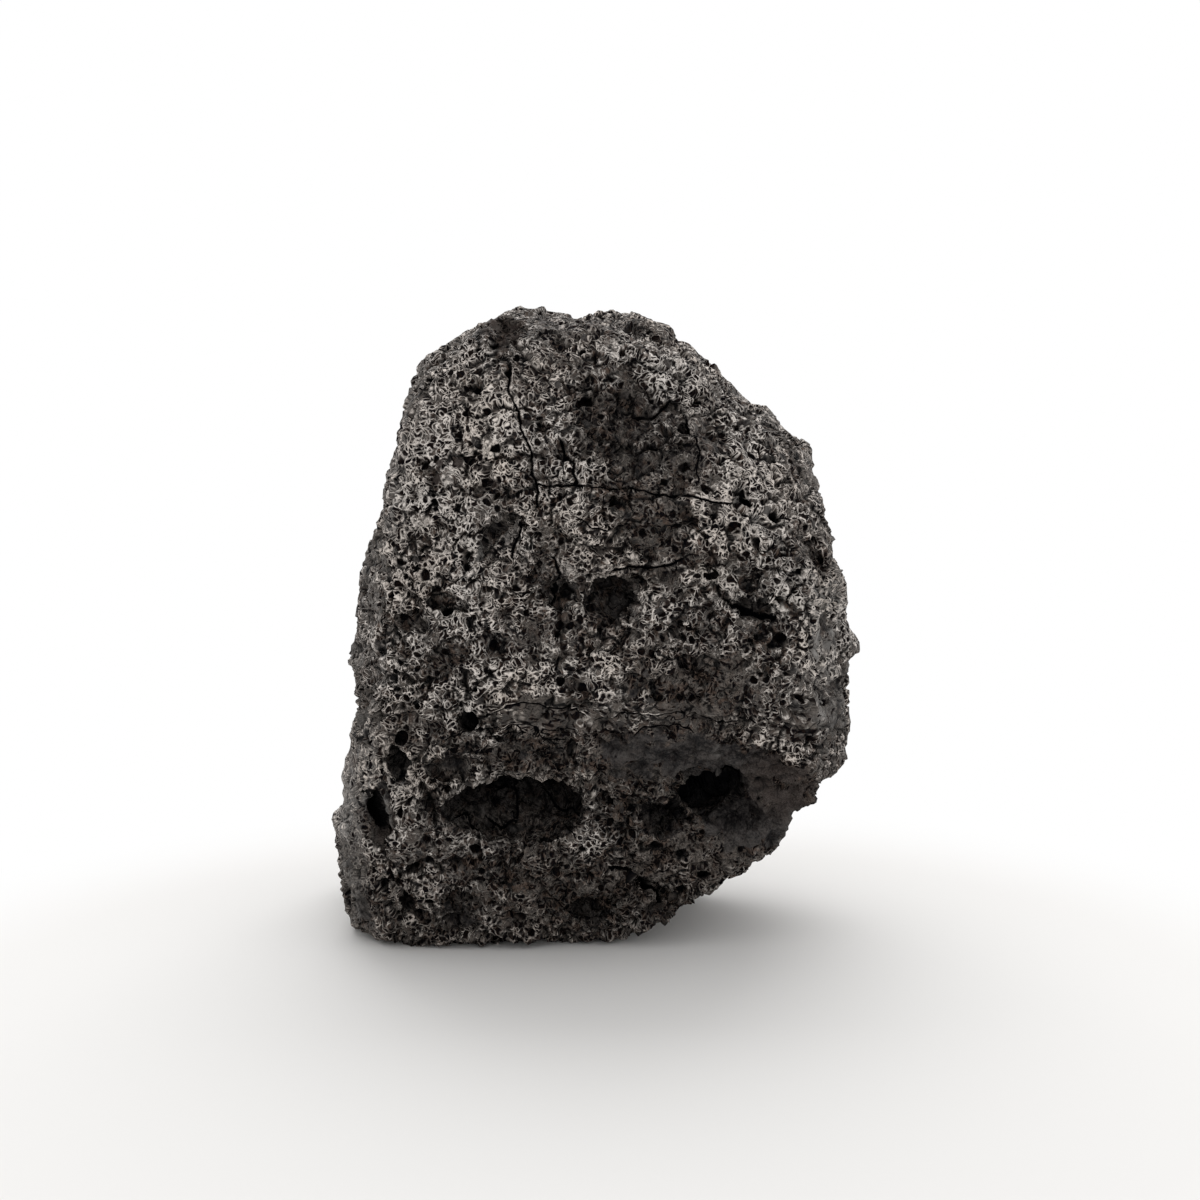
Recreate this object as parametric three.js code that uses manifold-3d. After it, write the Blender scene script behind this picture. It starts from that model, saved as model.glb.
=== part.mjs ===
// A hand-sized iron meteorite: one solid lump with planed faces, thumb-print hollows and open pits, standing
// on a flattened foot. Millimetres, +Z up. The origin is the centre of the bounding box's bottom face. The
// broad front face looks along -Y, with +X to its right.
//
// Places on the stone are directions from its core, in degrees: azimuth runs from the front (0) to the right
// (90) and the back (180), and elevation from the foot (-90) to the crown (90).
import * as THREE from "three";
import { ImprovedNoise } from "three/addons/math/ImprovedNoise.js";
import { mergeVertices } from "three/addons/utils/BufferGeometryUtils.js";
import Module from "manifold-3d";

// Driving dimensions, in millimetres unless a name says otherwise.
const CORE_HEIGHT = 40; // the core, which every direction is measured from, stands this far above the foot
const STONE_SPLITS = 15; // splits of an icosahedron's edge, which set the size of the stone's facets
const HOLLOW_FACET = 2.4; // a hollow's egg is split once for each of these in its longest half-size
const MOST_HOLLOW_SPLITS = 4;
const HOLLOW_ROUGHNESS = 0.22; // share of its size that a hollow's wall wanders by
const STONE_COLOUR = 0x4a4643;
const EDGE_CRISPNESS = 28; // exponent: a higher one sharpens the edges between the planed faces
const SWELL = { size: 17, height: 1.3, seed: 3.1 }; // slow waves over the whole stone
const LUMP = { size: 7, height: 1.2, seed: 11.7 }; // knobs and dips
const DIMPLE = { size: 4.4, height: 2.6, seed: 23.3 }; // rounded dimples with ridges between them
const DIMPLE_MEAN = 0.2; // share of the dimples' height that their average depth is
const MERGE = 1e-4; // vertices closer than this are one

// Planed faces: azimuth, elevation and distance from the core.
const FACES = {
  front: [-4, 4, 24.4],
  frontLower: [3, -16, 26.6],
  frontUpper: [5, 30, 33],
  frontRightUpper: [50, 38, 35.2],
  frontRight: [63, 0, 35.2],
  frontLeft: [-69, 4, 33],
  leftLower: [-92, 3.8, 31.6],
  leftUpper: [-90, 13.5, 30.4],
  leftShoulder: [-90, 42.6, 38.6],
  leftHeel: [-86, -30, 48.2],
  crown: [60, 87, 41],
  crownRight: [90, 60, 39.6],
  rightShoulder: [92, 48.5, 36.1],
  rightUpper: [92, 13.8, 32.5],
  rightLower: [90, -5.8, 34.9],
  rightUndercut: [84, -39, 37.2],
  rightFootEdge: [80, -52, 37.6],
  foot: [0, -90, CORE_HEIGHT + 0.8],
  back: [172, 3, 25],
  backUpper: [195, 35, 32],
  backLower: [165, -27, 30],
  backLeft: [-132, 8, 31],
  backRight: [132, -8, 32],
};

// Swellings and shallow dishes that the surface flows over: place, [width, height] across the face, and
// rise, which is negative for a dish. Turn is the tilt of the long side, anticlockwise.
const SWELLINGS = {
  rightThumbDish: { at: [38.5, -34], size: [30, 18], turn: -10, rise: -2.6 },
  browOverThumb: { at: [-21, -30], size: [24, 8], turn: 4, rise: 1.4 },
  ridgeBySlit: { at: [-45.5, -33], size: [6, 16], turn: -14, rise: 1.3 },
  heelBulge: { at: [-74, -36], size: [20, 14], turn: 0, rise: 2.2 },
  waist: { at: [-88, -15], size: [32, 10], turn: 0, rise: -2.6 },
  leftShoulderKnob: { at: [-90, 58], size: [16, 10], turn: 0, rise: 1.7 },
  rightShoulderKnob: { at: [92, 39], size: [22, 7], turn: 0, rise: 1.9 },
  footCorner: { at: [30, -64], size: [14, 8], turn: 0, rise: 2.6 },
  knobRight: { at: [42, -4.5], size: [9, 8], turn: 0, rise: 1.5 },
  footBlock: { at: [16, -57], size: [12, 9], turn: 0, rise: 1.4 },
  heelPatch: { at: [-60, -45], size: [7, 8], turn: 0, rise: -1.1 },
  greyPatch: { at: [54, 3], size: [5, 10], turn: 0, rise: -1.0 },
  upperDish: { at: [20, 50], size: [27, 17], turn: 0, rise: -1.5 },
  backThumbHigh: { at: [172, 22], size: [22, 15], turn: 20, rise: -3.0 },
  backThumbLow: { at: [196, -20], size: [18, 14], turn: -30, rise: -2.8 },
  leftThumb: { at: [-106, 16], size: [16, 20], turn: 15, rise: -2.0 },
  rightThumb: { at: [108, 4], size: [16, 22], turn: -20, rise: -2.2 },
  crownDish: { at: [120, 74], size: [14, 12], turn: 0, rise: -1.5 },
};

// Open hollows with sharp lips: place, half-sizes [across, up, in], turn in the face's plane, and tip, which
// leans the deep end back under the upper lip.
const HOLLOWS = {
  thumb: { at: [-24, -39.2], half: [8.6, 4.9, 5.2], turn: 3, tip: 28 },
  cavity: { at: [31.5, -36.5], half: [4.6, 3.4, 4.6], turn: -8, tip: 26 },
  cavityBore: { at: [38.5, -30.5], half: [1.1, 1.1, 2.8], turn: 0, tip: 10 },
  slit: { at: [-51.6, -31.6], half: [1.7, 3.9, 4.6], turn: 9, tip: 0 },
  ovalUpper: { at: [-47.5, -22.8], half: [1.8, 3.1, 1.9], turn: 12, tip: 0 },
  ovalLower: { at: [-37.7, -25.4], half: [3.1, 1.8, 1.8], turn: -14, tip: 20 },
  centre: { at: [5, 16.8], half: [3.9, 3.4, 3.0], turn: 35, tip: 10 },
  centreLeft: { at: [-7.4, 18.6], half: [3.0, 1.9, 2.1], turn: 20, tip: 0 },
  ledge: { at: [39.5, 10.8], half: [2.6, 1.3, 2.4], turn: -14, tip: 30 },
  notchRight: { at: [55.9, 18.6], half: [1.4, 3.0, 1.8], turn: 0, tip: 0 },
  pitBelow: { at: [-34.4, -16], half: [1.7, 1.6, 2.0], turn: 0, tip: 15 },
  pitLeft: { at: [-45.5, 7.6], half: [2.8, 1.4, 1.5], turn: 12, tip: 0 },
  pitLeftUpper: { at: [-39, 12.9], half: [2.9, 1.6, 1.5], turn: 0, tip: 0 },
  crevice: { at: [-27.5, 30.6], half: [1.4, 4.2, 2.0], turn: -28, tip: 0 },
  crownDent: { at: [-39, 67.5], half: [2.5, 2.3, 1.7], turn: 0, tip: 0 },
  wedge: { at: [15.9, 46], half: [2.2, 1.7, 1.1], turn: 30, tip: 0 },
  blackHole: { at: [40.7, 34.8], half: [0.95, 1.3, 2.4], turn: -10, tip: 0 },
  lowPit: { at: [-50.7, -48.8], half: [1.5, 3.0, 2.0], turn: 35, tip: 0 },
  lowShade: { at: [-42.5, -51.8], half: [2.8, 1.5, 1.6], turn: 0, tip: 25 },
  footShade: { at: [-1.2, -62], half: [3.6, 1.6, 1.8], turn: 5, tip: 25 },
  footCrack: { at: [24, -57.6], half: [3.6, 0.9, 1.9], turn: -38, tip: 0 },
  footArch: { at: [-29, -65.5], half: [5.6, 1.6, 4.5], turn: 0, tip: 0 },
  crownCrevice: { at: [20.1, 52.1], half: [3.0, 1.0, 1.5], turn: 14, tip: 30 },
  backPit: { at: [150, 10], half: [3.4, 4.6, 3.2], turn: 25, tip: 0 },
  backSlot: { at: [190, -2], half: [6.2, 3.2, 3.4], turn: -20, tip: 25 },
  leftPit: { at: [-120, -12], half: [2.2, 2.8, 2.0], turn: 0, tip: 10 },
  rightPit: { at: [92, 26], half: [2.6, 1.8, 2.0], turn: 15, tip: 10 },
};

// Small open pits strewn evenly over the stone. Radius and depth run between the two values given.
const PITS = { count: 170, radius: [1.8, 3.4], depth: [0.6, 1.6] };
const GOLDEN_TURN = 137.508; // degrees between neighbours on an even spiral over a sphere

const noise = new ImprovedNoise();
const wasm = await Module();
wasm.setup();

function direction(azimuth, elevation) {
  const a = THREE.MathUtils.degToRad(azimuth);
  const e = THREE.MathUtils.degToRad(elevation);
  return new THREE.Vector3(Math.sin(a) * Math.cos(e), -Math.cos(a) * Math.cos(e), Math.sin(e));
}

const planes = Object.values(FACES).map(([azimuth, elevation, distance]) => ({
  normal: direction(azimuth, elevation),
  distance,
}));

// Where the planed stone's surface lies along a unit vector from the core. A high power of the faces'
// distances is a cut by all of them at once, with slightly rounded edges.
function planedPoint(along) {
  let sum = 0;
  for (const { normal, distance } of planes) {
    sum += Math.max(0, normal.dot(along) / distance) ** EDGE_CRISPNESS;
  }
  return along.clone().multiplyScalar(sum ** (-1 / EDGE_CRISPNESS));
}

// A place on the planed stone with its outward normal and two directions in the face, turned anticlockwise.
function placeOn([azimuth, elevation], turn = 0) {
  const step = 1.5;
  const point = planedPoint(direction(azimuth, elevation));
  const east = planedPoint(direction(azimuth + step, elevation));
  const west = planedPoint(direction(azimuth - step, elevation));
  const north = planedPoint(direction(azimuth, elevation + step));
  const south = planedPoint(direction(azimuth, elevation - step));
  const normal = east.sub(west).cross(north.sub(south)).normalize();
  const across = new THREE.Vector3(0, 0, 1).cross(normal).normalize();
  across.applyAxisAngle(normal, THREE.MathUtils.degToRad(turn));
  return { point, normal, across, up: normal.clone().cross(across) };
}

// A bump that is 1 at its middle and flows into the ground at distance 1.
function bump(squaredDistance) {
  return squaredDistance < 1 ? (1 - squaredDistance) ** 2 : 0;
}

const swellings = Object.values(SWELLINGS).map(({ at, size, turn, rise }) => ({
  ...placeOn(at, turn),
  size,
  rise,
}));

const pits = Array.from({ length: PITS.count }, (_, i) => {
  const between = ([low, high], share) => low + (high - low) * share;
  const elevation = THREE.MathUtils.radToDeg(Math.asin(1 - (2 * i + 1) / PITS.count));
  return {
    point: planedPoint(direction(i * GOLDEN_TURN, elevation)),
    radius: between(PITS.radius, (i * 0.618) % 1),
    depth: between(PITS.depth, (i * 0.755) % 1),
  };
});

function swellingRelief(planed) {
  let relief = 0;
  for (const { point, across, up, size, rise } of swellings) {
    const offset = planed.clone().sub(point);
    const x = (2 * offset.dot(across)) / size[0];
    const y = (2 * offset.dot(up)) / size[1];
    const isFarSide = offset.length() > size[0] + size[1];
    relief += isFarSide ? 0 : rise * bump(x * x + y * y);
  }
  return relief;
}

function pitRelief(planed) {
  let relief = 0;
  for (const { point, radius, depth } of pits) {
    relief -= depth * bump(planed.distanceToSquared(point) / radius ** 2);
  }
  return relief;
}

function waves({ size, height, seed }, point) {
  return height * noise.noise(point.x / size + seed, point.y / size + seed, point.z / size + seed);
}

// The finished surface along a unit vector, before the hollows are cut. The foot is a true plane.
function surfacePoint(along) {
  const planed = planedPoint(along);
  const dimples = DIMPLE_MEAN * DIMPLE.height - Math.abs(waves(DIMPLE, planed));
  const swell = waves(SWELL, planed) + waves(LUMP, planed) + swellingRelief(planed);
  const relief = swell + dimples + pitRelief(planed);
  const reach = planed.length() + relief;
  const reachToFoot = along.z < 0 ? CORE_HEIGHT / -along.z : Infinity;
  return along.clone().multiplyScalar(Math.min(reach, reachToFoot));
}

// A ball of triangles with shared vertices, each moved by the function given.
function pressedBall(splits, move) {
  const ball = new THREE.IcosahedronGeometry(1, splits);
  ball.deleteAttribute("normal");
  ball.deleteAttribute("uv");
  const pressed = mergeVertices(ball, MERGE);
  const position = pressed.getAttribute("position");
  const along = new THREE.Vector3();
  for (let i = 0; i < position.count; i++) {
    const moved = move(along.fromBufferAttribute(position, i).normalize());
    position.setXYZ(i, moved.x, moved.y, moved.z);
  }
  return pressed;
}

function solidOf(geometry) {
  return new wasm.Manifold(
    new wasm.Mesh({
      numProp: 3,
      vertProperties: geometry.getAttribute("position").array,
      triVerts: new Uint32Array(geometry.index.array),
    }),
  );
}

function geometryOf(solid) {
  const { vertProperties, triVerts } = solid.getMesh();
  return new THREE.BufferGeometry()
    .setAttribute("position", new THREE.BufferAttribute(vertProperties, 3))
    .setIndex(new THREE.BufferAttribute(triVerts, 1));
}

// The rough egg that is scooped out of the stone to leave a hollow.
function scoop({ at, half, turn, tip }, index) {
  const { point, normal, across, up } = placeOn(at, turn);
  const stand = new THREE.Matrix4().makeBasis(across, up, normal).setPosition(point);
  const lean = new THREE.Matrix4().makeRotationX(THREE.MathUtils.degToRad(tip));
  const frame = stand.multiply(lean);
  const splits = Math.min(MOST_HOLLOW_SPLITS, Math.ceil(Math.max(...half) / HOLLOW_FACET));
  return pressedBall(splits, (along) => {
    const grain = noise.noise(along.x * 1.7 + index, along.y * 1.7, along.z * 1.7 + 0.4);
    return along
      .clone()
      .multiply(new THREE.Vector3(...half))
      .multiplyScalar(1 + HOLLOW_ROUGHNESS * grain)
      .applyMatrix4(frame);
  });
}

function meteoriteGeometry() {
  let stone = solidOf(pressedBall(STONE_SPLITS, surfacePoint));
  Object.values(HOLLOWS).forEach((hollow, index) => {
    stone = stone.subtract(solidOf(scoop(hollow, index)));
  });
  const geometry = geometryOf(stone);
  geometry.computeVertexNormals();
  return geometry;
}

function meteorite() {
  const material = new THREE.MeshStandardMaterial({ color: STONE_COLOUR, roughness: 0.7, metalness: 0.2 });
  const mesh = new THREE.Mesh(meteoriteGeometry(), material);
  mesh.name = "meteorite";
  mesh.geometry.computeBoundingBox();
  const { min, max } = mesh.geometry.boundingBox;
  mesh.position.set(-(min.x + max.x) / 2, -(min.y + max.y) / 2, -min.z);
  return mesh;
}

const group = new THREE.Group();
group.add(meteorite());
export default group;
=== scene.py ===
"""The looks of the iron meteorite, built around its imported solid.

Blender's lengths are metres. The tables and the patterns are in millimetres, which MM turns into metres.
The stone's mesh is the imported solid, eased, roughened with knobs and ledges, marked and riddled with bubbles.
Its material reads the same patterns, so that colour and shape agree.
"""
import math
from types import SimpleNamespace

import bmesh
import bpy
import numpy as np
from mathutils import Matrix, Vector
from mathutils.kdtree import KDTree

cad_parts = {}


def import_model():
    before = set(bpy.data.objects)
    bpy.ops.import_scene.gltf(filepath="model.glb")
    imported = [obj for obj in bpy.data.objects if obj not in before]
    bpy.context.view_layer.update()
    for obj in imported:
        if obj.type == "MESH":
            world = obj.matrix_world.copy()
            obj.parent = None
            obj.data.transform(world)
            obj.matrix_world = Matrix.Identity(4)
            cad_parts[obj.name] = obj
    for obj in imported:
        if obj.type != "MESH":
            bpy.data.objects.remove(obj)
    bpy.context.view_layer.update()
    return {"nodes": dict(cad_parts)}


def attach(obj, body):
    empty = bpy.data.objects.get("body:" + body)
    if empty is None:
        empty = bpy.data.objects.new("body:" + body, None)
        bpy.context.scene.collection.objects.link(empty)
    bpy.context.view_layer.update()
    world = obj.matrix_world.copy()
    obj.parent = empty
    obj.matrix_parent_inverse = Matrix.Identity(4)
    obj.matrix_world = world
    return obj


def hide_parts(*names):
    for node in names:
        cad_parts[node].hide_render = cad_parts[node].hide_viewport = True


MM = 0.001

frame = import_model()
stone_cad = frame["nodes"]["meteorite"]

# Camera
CAMERA_TARGET = Vector((1.1, 0, 43)) * MM
CAMERA_ELEVATION = math.radians(10)
CAMERA_DISTANCE = 349 * MM
CAMERA_VIEW_ANGLE = math.radians(26)
SENSOR_WIDTH_MM = 36

# The floor's paper is plain round its middle, and fades to a white glow between two distances from it.
PAPER_HALF_SIZE = 4
PAPER_COLOUR = (0.815, 0.805, 0.791, 1)
PAPER_ROUGHNESS = 0.8
PAPER_MIDDLE = (0, -45 * MM, 0)
PAPER_FADE = (76 * MM, 106 * MM)

# The light all round, from the front and from behind, and a window above and behind, in watts.
WHITE = (1, 1, 1, 1)
WORLD_FRONT = 0.8
WORLD_BACK = 0.9
WINDOW_PLACE = Vector((0, 0.5, 0.65))
WINDOW_AIM = Vector((0, 0, 0.03))
WINDOW_SIZE = (0.8, 0.6)
WINDOW_POWER = 3.5

# The stone's mesh
WELD = 0.001 * MM
VOXEL = 0.27 * MM
EASING = 0.5
EASING_ROUNDS = 14
TRIANGLES = 197_000


# ---- Meshes ----


def new_object(name, data):
    """A mesh, lamp or camera in the scene."""
    thing = bpy.data.objects.new(name, data)
    bpy.context.scene.collection.objects.link(thing)
    return thing


def apply_modifiers(thing):
    """Replaces the mesh by what the modifiers make of it."""
    graph = bpy.context.evaluated_depsgraph_get()
    made = bpy.data.meshes.new_from_object(thing.evaluated_get(graph), depsgraph=graph)
    thing.modifiers.clear()
    old = thing.data
    thing.data = made
    bpy.data.meshes.remove(old)


def welded_copy(source, name):
    """A copy of a CAD node in which triangles share their corners."""
    work = bmesh.new()
    work.from_mesh(source.data)
    bmesh.ops.remove_doubles(work, verts=work.verts, dist=WELD)
    mesh = bpy.data.meshes.new(name)
    work.to_mesh(mesh)
    work.free()
    return new_object(name, mesh)


def dense_stone():
    """The solid as a fine even mesh, with its edges eased."""
    stone = welded_copy(stone_cad, "meteorite_stone")
    grid = stone.modifiers.new("grid", "REMESH")
    grid.mode = "VOXEL"
    grid.voxel_size = VOXEL
    easing = stone.modifiers.new("easing", "SMOOTH")
    easing.factor = EASING
    easing.iterations = EASING_ROUNDS
    apply_modifiers(stone)
    return stone


def thin_out(thing, triangles):
    """Merges triangles until only so many are left."""
    have = sum(len(face.vertices) - 2 for face in thing.data.polygons)
    fewer = thing.modifiers.new("fewer", "DECIMATE")
    fewer.ratio = min(1, triangles / have)
    fewer.use_collapse_triangulate = True
    apply_modifiers(thing)


def vertex_array(mesh, what):
    """The vertices' places ("co") or normals ("normal"), one row each."""
    flat = np.empty(len(mesh.vertices) * 3, np.float32)
    if what == "normal":
        mesh.vertex_normals.foreach_get("vector", flat)
    else:
        mesh.vertices.foreach_get("co", flat)
    return flat.reshape(-1, 3).astype(float)


def store(mesh, name, values):
    """Keeps one number or one vector at each vertex, for the nodes to read."""
    is_vector = values.ndim == 2
    layer = mesh.attributes.new(name, "FLOAT_VECTOR" if is_vector else "FLOAT", "POINT")
    layer.data.foreach_set("vector" if is_vector else "value", values.astype(np.float32).ravel())


# ---- Places on the stone ----

# All in millimetres: x to the right, y to the back and z up from the foot.
# Where the dressed stone stands further out, or in, than the solid: middle, radii, how much.
TRIMS = [
    ((-31, 0, 48), (7, 22, 9), 1), ((-26, 0, 73), (7, 22, 5), 0.8),
    ((-31, -8, 31.5), (5, 20, 3.5), -0.8), ((-32.5, -6, 18.5), (5, 20, 2.6), -0.8),
    ((-32.5, -6, 12), (5, 20, 2.8), -0.7), ((22, 0, 71.3), (6, 20, 3.8), -1.6),
    ((33.5, 0, 51), (6, 20, 4), -1.4), ((34, 0, 39.5), (5, 20, 2.4), 0.5),
    ((34, 0, 34), (6, 20, 4.5), -0.7), ((30.5, -6, 21.8), (5, 16, 2.6), -1.2),
    ((28.5, -6, 16.3), (5, 16, 2.2), -1.2), ((0.5, 0, 83), (4.5, 14, 5), -1),
    ((8, -2, 80.5), (4.5, 14, 4), 1.3), ((17, -8, 6.5), (6, 14, 5), -1.3),
    ((13.5, -16, 0.5), (6.5, 14, 5.5), -2.4), ((8.5, -18, 0), (4.5, 12, 3.5), -1.2),
    ((-9, -26, 0), (20, 5, 2), -0.9),
]

# Zones: middle, radii, and how strong. Without the bubbles:
SMOOTH_ZONES = [
    ((29.5, -19, 31), (5, 8, 4.6), 0.5), ((28.5, -21, 42), (3, 6, 3.6), 0.7),
    ((-30.2, -17, 5), (1.8, 6, 3.4), 0.9), ((-11.2, -14, 80), (3.8, 5, 3.8), 0.62),
    ((6, -24, 64), (2.6, 4, 2.1), 0.5), ((-9.5, -22, 19.5), (9, 8, 4.6), 0.3),
    ((-27, -21, 19), (2.4, 6, 4.6), 0.9), ((23.5, -25, 37), (3.2, 5, 2.6), 0.4),
    ((-17.3, -24, 26.3), (2.4, 4, 1.5), 0.6),
]
# The smooth flow round the right-hand cavity: its middle line [x, z] on the front face, and half its width.
FLOW = [(4.5, 27.4), (9, 28), (15, 26.6), (20.5, 24.6), (25, 22), (24.6, 18.4), (18, 16.8)]
FLOW_WIDTH = 3.3
# Bands drawn out by the flow.
STREAK_ZONES = [
    ((-4, -25, 32.8), (14, 7, 2.6), 0.8),
    ((8, -25, 33), (12, 7, 2.2), 0.6),
    ((26, -24, 31.5), (5, 7, 3), 0.8),
]
# Worn to a streaky grey, with few black pits: wear, and painted light on the flanks.
WEATHERED_AND_LIT_ZONES = [
    ((-31, -14, 14), (3.4, 14, 12), 1), ((-31, -10, 34), (2.6, 14, 13), 0.9),
    ((-28.6, -8, 54), (2.8, 14, 13), 0.8), ((-24, -6, 70), (2.6, 14, 8), 0.6),
    ((30.5, -16, 33), (3.6, 9, 7), 0.8),
]
DARK_ZONES = [
    ((7.9, -23, 69), (12, 8, 8), 0.45), ((20, -20, 4), (6, 9, 5), 0.4),
    ((-17.6, -20, 4.6), (4.4, 6, 2.2), 0.5), ((4, -25, 30), (2.4, 6, 2), 0.5),
]
BROWN_ZONES = [
    ((-20, -24, 62), (7, 8, 9), 0.6), ((-11, -14, 80), (4, 5, 4), 0.9),
    ((10, -20, 10), (10, 8, 5), 0.8), ((25, -22, 23), (7, 8, 6), 0.7),
    ((8, -23, 75), (9, 8, 5), 0.5), ((-26, -22, 17), (3, 6, 4), 0.7),
]
# Broad parts that are paler, or duskier, than the rest: partly the crust's own tone, partly painted light and
# shade.
PALE_AND_LIT_ZONES = [
    ((-17, -23, 60), (10, 12, 22), 0.9), ((-12, -24, 36), (7, 8, 5.5), 0.9),
    ((18, -22, 57.5), (7, 12, 5.5), 0.9), ((21.5, -20, 64.5), (5, 12, 5), 0.9),
    ((25, -20, 48.5), (5.5, 12, 4), 0.8), ((0, -25, 39), (5, 8, 3.5), 0.7),
    ((8.5, -24, 47), (2.5, 8, 3), 0.5), ((1.5, -24, 15.5), (3.5, 8, 3), 0.3),
    ((-13, -24, 31), (3.5, 8, 2.6), 0.6), ((-20, -22, 9.5), (3, 8, 3), 0.6),
    ((12.5, -20, 74.5), (6, 10, 4.5), 0.6), ((-12.3, -23, 36.5), (4, 8, 3), 1),
    ((-32.5, -12, 19), (4, 14, 6), 1), ((-6.5, -24, 39.5), (7, 8, 4), 0.6),
    ((-25, -21, 23.5), (6.5, 8, 6), 1), ((28.8, -17, 43), (4.5, 12, 9), 1),
    ((15.5, -24, 48.5), (5, 8, 4), 0.4), ((13, -20, 78), (8, 12, 5), 0.5),
]
DUSKY_AND_SHADED_ZONES = [
    ((7.2, -24, 58.6), (5.5, 8, 5), 0.8), ((-12.3, -23, 58.5), (3.2, 8, 4.2), 1),
    ((20, -22, 44), (3.6, 8, 2.8), 0.8), ((-8.5, -24, 27.8), (8, 8, 3), 0.7),
    ((-8, -22, 11.5), (11, 8, 3.6), 0.6), ((26, -18, 18), (9, 12, 8), 1),
    ((-18.8, -23, 40.5), (3.6, 8, 4.4), 0.9), ((9, -22, 18), (9, 8, 8), 0.8),
    ((14, -22, 18), (16, 9, 12), 0.5), ((4, -20, 6), (16, 9, 6), 0.5),
    ((0, -8, 82), (12, 14, 4), 0.5), ((15, -22, 36), (11, 8, 7), 0.8),
    ((-19, -18, 72), (6, 10, 4.5), 0.6), ((2.5, -20, 70), (5.5, 9, 5.5), 0.6),
    ((13, -22, 64.5), (4, 8, 4), 0.6), ((-5.5, -24, 31), (3.5, 8, 3), 0.6),
    ((26, -14, 68), (6, 12, 8), 0.5),
]

# Cracks: points [x, z] along the front face, half width and depth.
CRACKS = [
    ([(-10.4, 75.8), (-10.1, 73), (-8.8, 69.5), (-7.1, 63.6), (-6.7, 59.1)], 0.16, 0.8),
    ([(-6.6, 61.9), (-1.9, 61.5), (2.3, 61.6), (6.9, 60.9), (12.6, 60.2), (18.2, 59.4)], 0.13, 0.7),
    ([(-3.7, 67.1), (-3.4, 65.3), (-2.1, 64.4), (-1.9, 61.9)], 0.22, 0.8),
    ([(5.6, 69.7), (7.5, 70), (8.9, 71), (10.2, 71.6)], 0.2, 0.9),
    ([(11.1, 70.4), (12.7, 68.2), (13.4, 65.4), (13.3, 61.9)], 0.11, 0.3),
    ([(2.6, 51.1), (4.5, 51.4), (6.2, 51.4), (9.3, 51.8), (12.3, 52.8)], 0.16, 0.8),
    ([(-4.8, 52.6), (-4.1, 50.7), (-4, 48.4), (-4.8, 47.2)], 0.2, 0.7),
    ([(-1.6, 57.6), (-0.4, 56.6), (2.3, 56.2), (4.5, 56.7)], 0.1, 0.3),
    ([(-9.4, 56.6), (-9.2, 55), (-9.9, 52.9)], 0.2, 0.6),
    ([(-14, 32.3), (-12.3, 33), (-10.6, 33.9), (-6.6, 33.9), (-3.3, 33.4), (-0.9, 32.6)], 0.1, 0.4),
    ([(-18.5, 29.6), (-14, 31), (-8, 31.4), (-2, 30.6)], 0.07, 0.2),
    ([(-13, 30), (-8, 30.2), (-3, 29.4)], 0.07, 0.2),
    ([(0.5, 32.2), (4.5, 32.9), (9.5, 33.2), (15, 32.2), (21, 31.6)], 0.08, 0.2),
    ([(5.8, 30.4), (6.8, 31.2), (8.6, 31.6), (10.6, 31.5), (12.6, 30.6)], 0.12, 0.3),
    ([(2.6, 11.8), (4.7, 11), (6.7, 9.7), (8.8, 7.4)], 0.3, 1),
    ([(17.4, 46.9), (20, 46), (22.8, 45.4)], 0.3, 0.8),
    ([(-18.6, 20.6), (-16.8, 22), (-14.2, 23.2), (-10.9, 24.2), (-7, 23.9), (-3.7, 22.9),
      (-1.2, 21.4)], 0.16, 0.4),
    ([(-14.3, 22.9), (-12.5, 21.8), (-10.8, 21.2), (-9.2, 21.8), (-7, 22.5), (-6.1, 23.1)], 0.14, 0.5),
    ([(-11.5, 20.9), (-9.2, 20.8), (-9.2, 19.6), (-9.6, 18)], 0.17, 0.6),
    ([(-6.4, 20.6), (-4.6, 19.6), (-3, 19.8), (-1.8, 18.6)], 0.13, 0.5),
    ([(-17.4, 18.6), (-15.4, 18), (-14.6, 16.4)], 0.12, 0.4),
    ([(-13.2, 18), (-11.6, 17.2), (-10.2, 17.6)], 0.15, 0.5),
    ([(-3.8, 17.6), (-2.2, 16.4)], 0.1, 0.4),
]
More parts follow.
